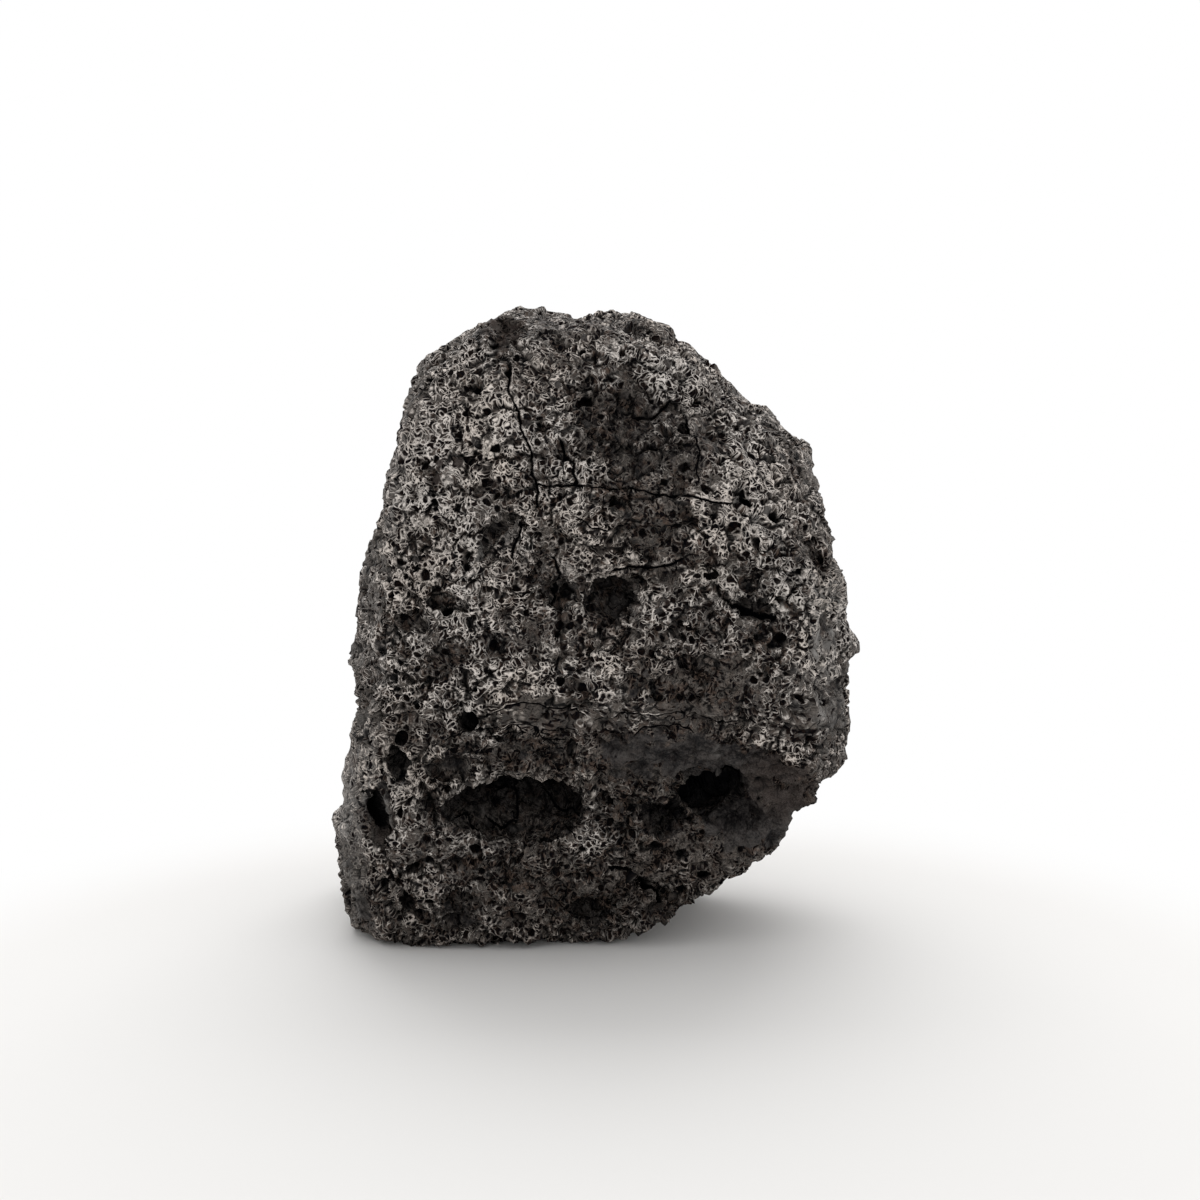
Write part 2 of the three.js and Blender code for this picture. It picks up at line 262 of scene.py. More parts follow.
# Hollows of the front face, sharp along the upper rim: middle [x, z], half width and half height, how far
# the top leans to the left in degrees, depth, darkness, the share of both that is left at the lower rim, and
# how crisp the rim is.
# A hollow's darkness is dark crust with a painted shadow, strongest under its upper rim and fading downward.
HOLLOWS = [
    (-9.6, 19.4, 9.8, 5.3, 0, 1.8, 1, 0.3, 0.6),
    (-20.4, 19.8, 1.9, 2.9, 0, 0.9, 0.75, 0.5, 0.6),
    (-17.1, 26.2, 2.5, 1.6, -10, 0.8, 0.6, 0.3, 0.6),
    (-24.4, 25.9, 1.4, 2.8, 18, 1.3, 0.9, 0.8, 1),
    (-27.4, 19.8, 1.15, 3.3, 12, 2.4, 1, 1, 1),
    (15.4, 21.9, 4.8, 2.3, 14, 2.2, 1, 0.85, 1),
    (17.2, 19.4, 5.6, 2.8, -18, 1.5, 0.95, 0.85, 0.5),
    (9.2, 18.4, 3.2, 2.7, 0, 1.3, 1, 0.8, 0.6),
    (2.2, 47, 3.3, 3.5, -20, 1.4, 0.85, 0.4, 0.35),
    (-4.2, 48.4, 2, 2.5, 0, 0.9, 0.8, 0.5, 0.3),
    (19.6, 46.3, 3.4, 1.5, -10, 0.9, 0.8, 0.4, 0.4),
    (-12.9, 54.8, 0.9, 3, -22, 0.8, 0.6, 0.7, 0.7),
    (-9.8, 54.6, 0.6, 2.3, 0, 0.6, 0.5, 0.7, 1),
    (-16.4, 60.6, 0.8, 2.2, 25, 0.7, 0.5, 0.7, 1),
    (-22.2, 54.2, 0.8, 2.6, 10, 0.8, 0.6, 0.7, 0.7),
    (-15.7, 31.6, 1, 1.5, 0, 1.5, 1, 0.8, 1),
    (-23.1, 11.4, 0.85, 0.85, 0, 1.2, 1, 0.9, 1),
    (-23.7, 6.4, 0.75, 1.9, 42, 1.3, 1, 0.9, 1),
    (-0.3, 5.2, 2.4, 2, 0, 1.2, 0.9, 0.9, 0.5),
    (8.3, 6.2, 1.5, 1.2, 0, 1.2, 0.9, 0.8, 0.6),
    (-17.6, 4.8, 2.6, 1.1, 0, 1, 0.9, 0.9, 0.5),
    (-29.7, 5.2, 0.9, 2.4, 15, 0.5, 0.6, 0.9, 0.6),
    (-11.4, 79.6, 1.7, 2.4, 30, 0.35, 0.3, 0.5, 0.35),
    (8.5, 66.5, 2.6, 1.8, 20, 0.8, 0.6, 0.3, 0.4),
    (3, 65.6, 1.6, 1.3, 0, 0.8, 0.7, 0.3, 0.4),
]
# Round holes: middle [x, z] on the front face, radius and depth.
HOLES = [
    (18.7, 60.2, 1, 2.2), (18.9, 59.3, 1, 2.2), (20.2, 57.6, 0.5, 1.5), (23.2, 57.8, 0.45, 1.2),
    (17.9, 23.6, 1.15, 3), (27.5, 29.3, 0.45, 1.4), (27.3, 28.3, 0.3, 1), (24, 26, 0.3, 0.9),
    (21.2, 23.1, 0.35, 0.9), (21.4, 20.6, 0.3, 0.8), (11.5, 13.3, 0.8, 1.5), (11.6, 7.9, 0.75, 1.4),
    (13.9, 7.4, 0.6, 1), (14.8, 10.3, 0.5, 1), (-19.4, 48.4, 0.7, 1), (-26.3, 40.5, 0.7, 1),
    (-24.5, 35.9, 0.5, 0.8), (-25, 37.3, 0.45, 0.8), (21.2, 43, 0.5, 1.3), (22.4, 42, 0.45, 1.1),
    (19.9, 42.6, 0.5, 1.1),
]
# The pale ridges between the front and its left and right neighbours, partly painted light where the front
# turns: points [x, z].
PALE_LIT_RIDGES = [
    [(-28.6, 30.5), (-26.4, 25), (-24.9, 19.5), (-25.7, 15.6), (-28.7, 14.6), (-30.6, 8)],
    [(27.8, 47.5), (28.6, 42), (28.4, 38), (29, 34), (28.9, 30)],
]

# How far a zone is at full strength, and where it ends, in radii.
ZONE_FULL = 0.5
ZONE_END = 1.2
# How far a ridge's paleness reaches, and a crack's surroundings, in millimetres.
PALE_RIDGE_REACH = 0.8
CRACK_REACH = 0.8
# How much wider than its colour a crack's groove is, and the width of a hollow's slope.
CRACK_SLACK = 0.15
HOLLOW_SLOPE = 0.7
# The lower and the upper end of a hollow's fading, in half heights from its middle.
HOLLOW_FADING = (-0.9, 0.7)
# The most distance that is kept from a crack, in half widths, and from a hollow's rim.
FAR_FROM_CRACK = 9.0
FAR_FROM_HOLLOW = 4.0
# The front marks are kept off the back, which starts here.
FRONT_END = -5
FACING_GAIN = 3


def smoothstep(value, low, high):
    share = np.clip((value - low) / (high - low), 0, 1)
    return share * share * (3 - 2 * share)


def zone_mask(points, zones):
    """The strength of the zones at each point, and 0 outside them."""
    mask = np.zeros(len(points))
    for middle, radii, strength in zones:
        away = np.linalg.norm((points - middle) / radii, axis=1)
        mask = np.maximum(mask, strength * smoothstep(-away, -ZONE_END, -ZONE_FULL))
    return mask


def path_distance(x, z, path):
    """Distance to a path of straight pieces, positive on its left side."""
    nearest = np.full(len(x), 1e9)
    for (x0, z0), (x1, z1) in zip(path, path[1:]):
        dx, dz = x1 - x0, z1 - z0
        t = np.clip(((x - x0) * dx + (z - z0) * dz) / (dx * dx + dz * dz), 0, 1)
        away = np.hypot(x - x0 - t * dx, z - z0 - t * dz)
        away = np.where((z - z0) * dx > (x - x0) * dz, away, -away)
        nearest = np.where(np.abs(away) < np.abs(nearest), away, nearest)
    return nearest


def facing_front(normals):
    return np.clip(-normals[:, 1] * FACING_GAIN, 0, 1)


def on_front(points, normals):
    return facing_front(normals) * (points[:, 1] < FRONT_END)


def trimmed(points, normals):
    """The points after the trims, in millimetres."""
    offset = np.zeros(len(points))
    for middle, radii, amount in TRIMS:
        offset += amount * zone_mask(points, [(middle, radii, 1)])
    moved = points + normals * offset[:, None]
    moved[:, 2] = np.maximum(moved[:, 2], 0)
    return moved


def crack_values(x, z, vigour):
    """The cracks' depth, signed distance in half widths, and nearness."""
    depth, near = np.zeros((2, len(x)))
    distance = np.full(len(x), FAR_FROM_CRACK)
    for path, width, deep in CRACKS:
        away = path_distance(x, z, path)
        depth = np.maximum(depth, deep * vigour * np.exp(-((away / (width + CRACK_SLACK)) ** 2)))
        near = np.maximum(near, smoothstep(-np.abs(away), -CRACK_REACH, -0.6 * CRACK_REACH) * vigour)
        distance = np.where(np.abs(away / width) < np.abs(distance), away / width, distance)
    return depth, distance, near


def hole_values(x, z):
    """The round holes' depth, and 1 inside them."""
    depth, burst = np.zeros((2, len(x)))
    for middle_x, middle_z, radius, deep in HOLES:
        away = np.hypot(x - middle_x, z - middle_z) / radius
        depth = np.maximum(depth, deep * np.clip(1.4 - away, 0, 1))
        burst = np.maximum(burst, smoothstep(-away, -1.2, -0.8))
    return depth, burst


def hollow_values(x, z):
    """The hollows' depth, millimetres inside a rim, and darkness: dark crust with a painted shadow under the
    upper rim.
    """
    depth, soot_and_shade = np.zeros((2, len(x)))
    inside = np.full(len(x), -FAR_FROM_HOLLOW)
    for middle_x, middle_z, half_width, half_height, lean, deep, dark, low, crisp in HOLLOWS:
        c, s = math.cos(math.radians(lean)), math.sin(math.radians(lean))
        u = ((x - middle_x) * c + (z - middle_z) * s) / half_width
        w = ((z - middle_z) * c - (x - middle_x) * s) / half_height
        level = low + (1 - low) * smoothstep(w, *HOLLOW_FADING)
        reach = (1 - np.hypot(u, w)) * min(half_width, half_height)
        reach *= crisp * (0.3 + 0.7 * smoothstep(level, 0.3, 0.8))
        depth = np.maximum(depth, deep * level * smoothstep(reach, 0, HOLLOW_SLOPE))
        soot_and_shade = np.where(reach > inside, dark * level, soot_and_shade)
        inside = np.maximum(inside, reach)
    return depth, inside, soot_and_shade


def front_marks(points, normals):
    """The placed marks of the front face, as a dictionary of one number at each vertex.

    marks: millimetres that they go in. crack: signed distance to the nearest crack, in its half widths, and
    crack_on: 1 near a crack. hollow: millimetres inside the nearest hollow's rim, and soot: its darkness,
    which is dark crust with a painted shadow under the upper rim. burst: 1 in a round hole.
    """
    x, z = points[:, 0], points[:, 2]
    # Cracks and hollows follow wavy coordinates, so that no outline is straight.
    wavy_x = x + 0.2 * np.sin(z * 1.3 + 0.7) + 0.06 * np.sin(z * 3.7)
    wavy_z = z + 0.2 * np.sin(x * 0.9) + 0.05 * np.sin(x * 3.3 + 1)
    vigour = 0.75 + 0.25 * np.sin(x * 1.3 + 2) * np.sin(z * 1.1)
    front = on_front(points, normals)
    crack_depth, crack, near_crack = crack_values(wavy_x, wavy_z, vigour)
    hole_depth, burst = hole_values(x, z)
    hollow_depth, hollow, soot_and_shade = hollow_values(wavy_x, wavy_z)
    return {
        "marks": np.maximum(np.maximum(crack_depth, hole_depth), hollow_depth) * front,
        "crack": crack,
        "crack_on": near_crack * front,
        "hollow": np.where(front > 0.2, np.minimum(hollow, FAR_FROM_HOLLOW), -FAR_FROM_HOLLOW),
        "soot_and_shade": soot_and_shade * front,
        "burst": burst * front,
    }


def tone(points, normals):
    """From -1 to 1: how much duskier or paler than the rest each place is, partly by its own tone and partly by
    painted light and shade.
    """
    x, z = points[:, 0], points[:, 2]
    away = np.min([np.abs(path_distance(x, z, path)) for path in PALE_LIT_RIDGES], axis=0)
    ridge = facing_front(normals) * np.exp(-((away / PALE_RIDGE_REACH) ** 2))
    return np.maximum(zone_mask(points, PALE_AND_LIT_ZONES), ridge) - zone_mask(points, DUSKY_AND_SHADED_ZONES)


def smoothness(points, normals):
    """From 0 to 1: how much each place is smooth, without the bubbles."""
    front = on_front(points, normals)
    away = np.abs(path_distance(points[:, 0], points[:, 2], FLOW)) / FLOW_WIDTH
    return np.maximum(zone_mask(points, SMOOTH_ZONES), front * smoothstep(-away, -1.6, -0.4))


def sideways(normals):
    """From 0 to 1: how much each place faces left or right."""
    return np.clip((np.abs(normals[:, 0]) - 0.5) / 0.3, 0, 1)


# ---- The bubble pattern, the same formula for the mesh and for the material ----

# Two sets of rims: worms, where a noise crosses a level, and the walls between bent cells. Sizes are to a
# millimetre.
WORMS = 1.3
SMALL_WORMS = 2.3
WORM_LEVEL = 0.53
CELLS = 0.95
CELL_BEND = 1.3
CELL_BEND_BY = 1
# How many times thinner a wall between cells is than a worm.
CELL_THIN = 1.9
# Millimetres in which the worms' noise changes by about 1, for the bump.
WORM_SPREAD = 2.2
# In millimetres from a rim's crest: where the rim ends, and where the pit begins and is full.
RIM_REACH = 0.175
PIT_START = 0.085
PIT_FULL = 0.22
RIM_HEIGHT = 0.14
PIT_DEPTH = 0.3
# The step for the worms' slope, in millimetres, and the least slope that counts.
SLOPE_STEP = 0.05
LEAST_SLOPE = 0.006
# Crossed with the normal, it gives a direction along the surface.
ODD_DIRECTION = (0.27, 0.53, 0.81)
# How far the whole pattern is bent, in millimetres, and how finely.
WARP = 1.3
WARP_SCALE = 0.4
# Burst bubbles: cells to a millimetre, least and most radius in cells (none under 0), and how soft the
# edge is. Then their depths in millimetres.
BIG_HOLES = (0.34, -0.9, 0.34, 0.12)
MIDDLE_HOLES = (0.78, -0.55, 0.42, 0.16)
BIG_DEPTH = 0.9
MIDDLE_DEPTH = 0.4
# Flow bands are drawn out sideways: how the place is scaled for them.
BAND_STRETCH = (0.34, 0.34, 2)
BAND_SCALE = 0.9
# Stray smooth spots: cells to a millimetre, and the share of cells without one.
SPOTS = 0.32
SPOTLESS = (0.66, 0.7)


class Net:
    """Writes a formula as nodes, for geometry and material alike."""

    def __init__(self, tree):
        self.tree = tree

    def node(self, kind, inputs, **settings):
        node = self.tree.nodes.new(kind)
        for name, value in settings.items():
            setattr(node, name, value)
        for key, value in inputs.items():
            if isinstance(value, bpy.types.NodeSocket):
                self.tree.links.new(value, node.inputs[key])
            else:
                node.inputs[key].default_value = value
        return node

    def add(self, kind, inputs, output=0, **settings):
        return self.node(kind, inputs, **settings).outputs[output]

    def math(self, operation, a, b=0, c=0):
        return self.add("ShaderNodeMath", {0: a, 1: b, 2: c}, operation=operation)

    def times(self, *values):
        result = values[0]
        for value in values[1:]:
            result = self.math("MULTIPLY", result, value)
        return result

    def times_plus(self, a, b, c):
        return self.math("MULTIPLY_ADD", a, b, c)

    def minus(self, a, b):
        return self.math("SUBTRACT", a, b)

    def larger(self, a, b):
        return self.math("MAXIMUM", a, b)

    def size(self, value):
        """The value without its sign."""
        return self.math("ABSOLUTE", value)

    def one_minus(self, value):
        """What the value lacks of 1, for a share."""
        return self.minus(1, value)

    def centred(self, noise):
        """A noise moved down to lie about 0."""
        return self.minus(noise, 0.5)

    def vector(self, operation, a, b=(0, 0, 0)):
        return self.add("ShaderNodeVectorMath", {0: a, 1: b}, operation=operation)

    def scaled(self, a, factor):
        return self.add("ShaderNodeVectorMath", {0: a, "Scale": factor}, operation="SCALE")

    def part(self, vector, index):
        """The x (0), y (1) or z (2) of a vector."""
        return self.add("ShaderNodeSeparateXYZ", {0: vector}, index)

    def ramp(self, value, low, high, out_low=0, out_high=1):
        """A smooth step from out_low, where the value is low, to out_high, where it is high."""
        ends = {0: value, 1: low, 2: high, 3: out_low, 4: out_high}
        return self.add("ShaderNodeMapRange", ends, interpolation_type="SMOOTHSTEP")

    def mix(self, share, a, b):
        return self.add("ShaderNodeMix", {0: share, 2: a, 3: b})

    def colour(self, share, a, b):
        """A mix of two colours, each a socket or three numbers."""
        a, b = ((*c, 1) if isinstance(c, tuple) else c for c in (a, b))
        return self.add("ShaderNodeMix", {0: share, 6: a, 7: b}, 2, data_type="RGBA")

    def noise(self, at, scale, detail=2, roughness=0.5, output="Fac"):
        inputs = {"Vector": at, "Scale": scale, "Detail": detail, "Roughness": roughness}
        return self.add("ShaderNodeTexNoise", inputs, output)

    def drift(self, at, scale, detail):
        """A vector that wanders evenly about 0."""
        return self.vector("SUBTRACT", self.noise(at, scale, detail, output="Color"), (0.5, 0.5, 0.5))

    def cells(self, at, scale, feature="F1"):
        """The node of a pattern of cells."""
        return self.node("ShaderNodeTexVoronoi", {"Vector": at, "Scale": scale}, feature=feature)


def warped(net, place):
    """The place, bent so that the pattern is nowhere regular."""
    return net.vector("ADD", place, net.scaled(net.drift(place, WARP_SCALE, 1), WARP))


def worm_level(net, at, scale):
    return net.minus(net.noise(at, scale, 0), WORM_LEVEL)


def wall_distance(net, at):
    """Millimetres to the nearest wall between two cells, as if the walls were as thick as the worms."""
    bent = net.vector("ADD", at, net.scaled(net.drift(at, CELL_BEND, 1), CELL_BEND_BY))
    return net.times(net.cells(bent, CELLS, "DISTANCE_TO_EDGE").outputs["Distance"], CELL_THIN / CELLS)


def distance_to_zero(net, level_of, at, normal, step, least):
    """Millimetres along the surface from a place to where a level is 0, with the level's sign.

    The level is divided by its slope along the surface, which gives a line drawn by it one width everywhere.
    """
    across = net.vector("NORMALIZE", net.vector("CROSS_PRODUCT", normal, ODD_DIRECTION))
    along = net.vector("CROSS_PRODUCT", normal, across)
    here = level_of(at)

    def rise(direction):
        return net.minus(level_of(net.vector("ADD", at, net.scaled(direction, step))), here)

    rise_a, rise_b = rise(across), rise(along)
    slope = net.math("SQRT", net.times_plus(rise_a, rise_a, net.times(rise_b, rise_b)))
    return net.times(net.math("DIVIDE", here, net.larger(slope, least)), step)


def holes_in(net, at, scale, least, most, soft):
    """Burst bubbles of many sizes: (1 inside a hole, 1 on the lip around it)."""
    nearest = net.cells(at, scale)
    chance = net.part(nearest.outputs["Color"], 0)
    beyond = net.minus(nearest.outputs["Distance"], net.ramp(chance, 0, 1, least, most))
    lip = net.times(net.ramp(beyond, -soft, 0), net.ramp(beyond, 0, soft, 1, 0))
    return net.ramp(beyond, -soft, soft * 0.5, 1, 0), lip


class Crust:
    """The pattern of bubbles at a place, for the mesh and the material."""

    def __init__(self, net, bent, kept, streak):
        self.net = net
        self.bent = bent
        self.kept = kept
        self.walls = wall_distance(net, bent)
        self.banded = net.ramp(streak, 0.3, 0.6)
        self.big, self.big_lip = holes_in(net, bent, *BIG_HOLES)
        middle, self.middle_lip = holes_in(net, bent, *MIDDLE_HOLES)
        self.middle = net.times(middle, net.one_minus(self.banded))
        self.hole = net.larger(self.big, self.middle)
        # In flow bands, thin ridges take the place of the bubbles.
        drawn = net.vector("MULTIPLY", bent, BAND_STRETCH)
        self.ripple = net.size(net.centred(net.noise(drawn, BAND_SCALE, 1)))

    def hole_depth(self):
        """Millimetres that the burst bubbles go into the stone."""
        net = self.net
        depth = net.times_plus(self.big, BIG_DEPTH, net.times(self.middle, MIDDLE_DEPTH))
        return net.times(depth, self.kept)

    def pitted(self):
        """1 where the gaps between the rims are pits, which is most places."""
        return self.net.ramp(self.net.noise(self.bent, 0.8, 0), 0.4, 0.48, 0.35, 1)

    def rim_from(self, away):
        return self.net.ramp(away, 0, RIM_REACH, 1, 0)

    def pit_from(self, away):
        return self.net.times(self.net.ramp(away, PIT_START, PIT_FULL), self.pitted())

    def height(self):
        """Millimetres: the rims and the pits between them, for the bump."""
        net = self.net
        worms = net.times(net.size(worm_level(net, self.bent, WORMS)), WORM_SPREAD)
        away = net.math("MINIMUM", worms, self.walls)
        ridge = net.ramp(self.ripple, 0.01, 0.05, 1, 0)
        rim = net.mix(self.banded, self.rim_from(away), ridge)
        pit = net.mix(self.banded, self.pit_from(away), 0)
        height = net.minus(net.times(rim, RIM_HEIGHT), net.times(pit, PIT_DEPTH))
        return net.times(height, self.kept)

    def worm_distance(self):
        net = self.net
        normal = net.add("ShaderNodeNewGeometry", {}, "Normal")

        def level_of(at):
            return worm_level(net, at, WORMS)

        return net.size(distance_to_zero(net, level_of, self.bent, normal, SLOPE_STEP, LEAST_SLOPE))

    def rim_and_pit(self):
        """How much each place is on a pale rim, and how much in a dark pit."""
        net = self.net
        away = net.math("MINIMUM", self.worm_distance(), self.walls)
        chance = net.ramp(net.noise(self.bent, 0.9, 0), 0.35, 0.65)
        rim = net.mix(self.banded, self.rim_from(away), net.ramp(self.ripple, 0, 0.05, 0.6, 0))
        pit = net.mix(self.banded, self.pit_from(away), net.ramp(self.ripple, 0.05, 0.16, 0, 0.6))
        pit = net.times(pit, net.ramp(chance, 0.05, 0.6, 0.35, 1))
        small = worm_level(net, self.bent, SMALL_WORMS)
        small_rim = net.ramp(net.size(small), 0.01, 0.06, 1, 0)
        small_pit = net.ramp(small, 0.08, 0.16, 0, 0.7)
        pit = net.larger(net.larger(pit, small_pit), self.hole)
        rim = net.larger(rim, net.times(small_rim, net.ramp(chance, 0.3, 0.8, 0.35, 0)))
        rim = net.times(rim, net.ramp(self.hole, 0.2, 0.8, 1, 0.15))
        rim = net.larger(rim, net.larger(self.big_lip, net.times(self.middle_lip, 0.8)))
        return net.times(rim, self.kept), net.times(pit, self.kept)


def bubbly(net, place, bent, smooth):
    """1 where the crust is full of bubbles, less in the smooth zones and in stray spots."""
    fray = net.centred(net.noise(place, 0.5, 3, 0.65))
    spots = net.cells(bent, SPOTS)
    chosen = net.ramp(net.part(spots.outputs["Color"], 1), *SPOTLESS)
    spot = net.times(net.ramp(spots.outputs["Distance"], 0.14, 0.34, 0.9, 0), chosen)
    plain = net.larger(net.times_plus(fray, 3, smooth), spot)
    return net.ramp(plain, 0.25, 1, 1, 0)


# ---- The stone's relief: knobs and ledges first, and then the burst bubbles ----

# Noises: waves to a millimetre, octaves, and for some how rough.
KNOBS = (0.28, 3, 0.6)
GULLIES = (0.15, 1.5)
GULLY_PLACES = (0.2, 1)
LEDGE_BEND = (0.3, 2)
LEDGE_STEPS = (0.12, 2)
RUBBLE = (0.42, 4, 0.62)
# Dents: cells to a millimetre.
DENTS = 0.24
# Heights, depths and lengths in millimetres.
KNOB_HEIGHT = 0.95
LEDGE_HEIGHT = 0.7
LEDGE_BEND_BY = 4
DENT_DEPTH = 0.6
RUBBLE_HEIGHT = 5
# How many ledges there are over the range of their noise, and a ledge's mean height.
LEDGES = 8
LEDGE_MEAN = 0.4
LEDGE_SLOPE_STEP = 0.15
LEAST_LEDGE_SLOPE = 0.02
# The share of the relief that is missing on smooth places.
CALM = 0.45
# Rounds of averaging that make the local average, for fine relief and for whole facets.
PROUD_ROUNDS = 60
EXPOSURE_ROUNDS = 24
EXPOSURE_CORNERS = 3
EXPOSURE_SOFTNESS = 0.3


def named_attribute(net, name, kind="FLOAT"):
    return net.add("GeometryNodeInputNamedAttribute", {0: name}, data_type=kind)


def surface_normal(net):
    return net.add("GeometryNodeInputNormal", {})


def shape_modifier(thing, name, height_of):
    """Moves the surface along its normal by a height in millimetres, and keeps the foot flat.

    height_of gives the height and a dictionary of more values that are kept at each vertex.
    """
    tree = bpy.data.node_groups.new(name, "GeometryNodeTree")
    tree.interface.new_socket("Geometry", in_out="INPUT", socket_type="NodeSocketGeometry")
    tree.interface.new_socket("Geometry", in_out="OUTPUT", socket_type="NodeSocketGeometry")
    net = Net(tree)
    geometry = net.add("NodeGroupInput", {})
    normal = surface_normal(net)
    height, kept = height_of(net)
    for kept_name, value in kept.items():
        inputs = {"Geometry": geometry, "Name": kept_name, "Value": value}
        geometry = net.add("GeometryNodeStoreNamedAttribute", inputs, data_type="FLOAT", domain="POINT")
    offset = net.scaled(normal, net.times(height, MM))
    moved = net.vector("ADD", net.add("GeometryNodeInputPosition", {}), offset)
    on_floor = {0: net.part(moved, 0), 1: net.part(moved, 1), 2: net.larger(net.part(moved, 2), 0)}
    place = net.add("ShaderNodeCombineXYZ", on_floor)
    shaped = net.add("GeometryNodeSetPosition", {"Geometry": geometry, "Position": place})
    net.node("NodeGroupOutput", {0: shaped})
    thing.modifiers.new(name, "NODES").node_group = tree
    apply_modifiers(thing)


def ledge_bent(net, place):
    """The place, bent to let ledges and gullies wind."""
    drift = net.noise(place, *LEDGE_BEND, output="Color")
    return net.vector("ADD", place, net.scaled(drift, LEDGE_BEND_BY))


def ledge_level(net, place):
    """A number that grows by one from each ledge to the next."""
    return net.times(net.noise(ledge_bent(net, place), *LEDGE_STEPS), LEDGES)


def ledge_distance(net, place):
    """Signed millimetres to the nearest foot or top of a ledge."""

    def turn(at):
        return net.math("SINE", net.times(ledge_level(net, at), math.tau))

    return distance_to_zero(net, turn, place, surface_normal(net), LEDGE_SLOPE_STEP, LEAST_LEDGE_SLOPE)


def ledges(net, level):
    """Each ledge rises steeply and falls gently to the next."""
    step = net.math("FRACT", level)
    return net.minus(net.minus(net.ramp(step, 0, 0.2), step), LEDGE_MEAN)


def gullies(net, place, bent):
    """1 in narrow gullies, where a noise is at its middle, in some parts of the stone."""
    off_line = net.size(net.centred(net.noise(bent, *GULLIES)))
    some_parts = net.ramp(net.noise(place, *GULLY_PLACES), 0.4, 0.55)
    return net.times(net.ramp(off_line, 0.004, 0.028, 1, 0), some_parts)


def lump_height(net):
    """Knobs, ledges and gullies, between the solid's lumps and the bubbles in size."""
    place = named_attribute(net, "rest", "FLOAT_VECTOR")
    bent = ledge_bent(net, place)
    level = ledge_level(net, place)
    knobs = net.times(net.centred(net.noise(place, *KNOBS)), KNOB_HEIGHT)
    dents = net.ramp(net.cells(bent, DENTS).outputs["Distance"], 0.12, 0.36, 1, 0)
    rubble = net.times(net.centred(net.noise(place, *RUBBLE)), named_attribute(net, "soot_and_shade"))
    calm = net.one_minus(net.times(named_attribute(net, "smooth"), CALM))
    height = net.minus(knobs, gullies(net, place, bent))
    height = net.times_plus(ledges(net, level), LEDGE_HEIGHT, height)
    height = net.minus(height, net.times(dents, DENT_DEPTH))
    height = net.times_plus(rubble, RUBBLE_HEIGHT, height)
    height = net.minus(net.times(height, calm), named_attribute(net, "marks"))
    near_foot = net.ramp(net.math("COSINE", net.times(level, math.tau)), 0, 0.5)
    return height, {"ledge": ledge_distance(net, place), "ledge_on": net.times(near_foot, calm)}


def hole_height(net):
    """The burst bubbles."""
    place = named_attribute(net, "rest", "FLOAT_VECTOR")
    bent = warped(net, place)
    kept = bubbly(net, place, bent, named_attribute(net, "smooth"))
    crust = Crust(net, bent, kept, named_attribute(net, "streak"))
    return net.times(crust.hole_depth(), -1), {"kept": kept}


def proudness(mesh, rounds):
    """Millimetres that each vertex stands out of the local average."""
    points = vertex_array(mesh, "co")
    edges = np.empty(len(mesh.edges) * 2, np.int32)
    mesh.edges.foreach_get("vertices", edges)
    a, b = edges.reshape(-1, 2).T
    degree = np.bincount(a, minlength=len(points)) + np.bincount(b, minlength=len(points))
    average = points.copy()
    for _ in range(rounds):
        for axis in range(3):
            ahead = np.bincount(a, weights=average[b, axis], minlength=len(points))
            behind = np.bincount(b, weights=average[a, axis], minlength=len(points))
            average[:, axis] = 0.5 * average[:, axis] + 0.5 * (ahead + behind) / degree
    return ((points - average) * vertex_array(mesh, "normal")).sum(axis=1) / MM


def exposure(points):
    """How far the solid stands out at each point, at the scale of its facets."""
    coarse = welded_copy(stone_cad, "coarse")
    values = proudness(coarse.data, EXPOSURE_ROUNDS)
    corners = vertex_array(coarse.data, "co") / MM
    bpy.data.meshes.remove(coarse.data)
    tree = KDTree(len(corners))
    for index, corner in enumerate(corners):
        tree.insert(corner, index)
    tree.balance()
    result = np.empty(len(points))
    for index, point in enumerate(points):
        near = tree.find_n(point, EXPOSURE_CORNERS)
        shares = [1 / (distance + EXPOSURE_SOFTNESS) for _, _, distance in near]
        result[index] = sum(share * values[found] for share, (_, found, _) in zip(shares, near)) / sum(shares)
    return result


# ---- The stone's material ----

# The numbers kept at each vertex, apart from "rest", which is its place before the relief.
KEPT_VALUES = (
    "smooth", "streak", "dark", "brown", "weather", "tone", "side", "exposed", "proud", "kept",
    "marks", "crack", "crack_on", "hollow", "soot_and_shade", "burst", "ledge", "ledge_on",
)
# Noises: waves to a millimetre, octaves, and how rough.
BROAD = (0.09, 3, 0.6)
GRAIN = (3.4, 3, 0.7)
MOTTLE = (0.9, 3, 0.7)
STREAKS = (0.8, 3, 0.65)
STREAKS_UPRIGHT = (1.6, 1.6, 0.35)
PLATES = (0.36, 2, 0.6)
RUST_SPOTS = (1.1, 2, 0.6)
PATCHES = (0.3, 3, 0.65)
BREAKS = (1.6, 3, 0.7)
CREVICES = (0.33, 1, 0.6)
# Colours in linear light, or pairs of the darkest and the palest shade.
# A near black, painted as the shade in cracks, round holes, deep marks and crevices.
SHADE_BLACK = (0.0018, 0.0018, 0.0024)
GROUND = ((0.02, 0.0194, 0.0206), (0.122, 0.104, 0.089))
PLATE = ((0.07, 0.061, 0.055), (0.186, 0.163, 0.144))
MELT = ((0.0045, 0.0047, 0.0058), (0.066, 0.06, 0.0575))
# The pits' near black: painted shade in their depths.
PIT_SHADE = ((0.0018, 0.0019, 0.0034), (0.013, 0.0083, 0.0066))
RIM = ((0.745, 0.667, 0.6), (0.795, 0.737, 0.685))
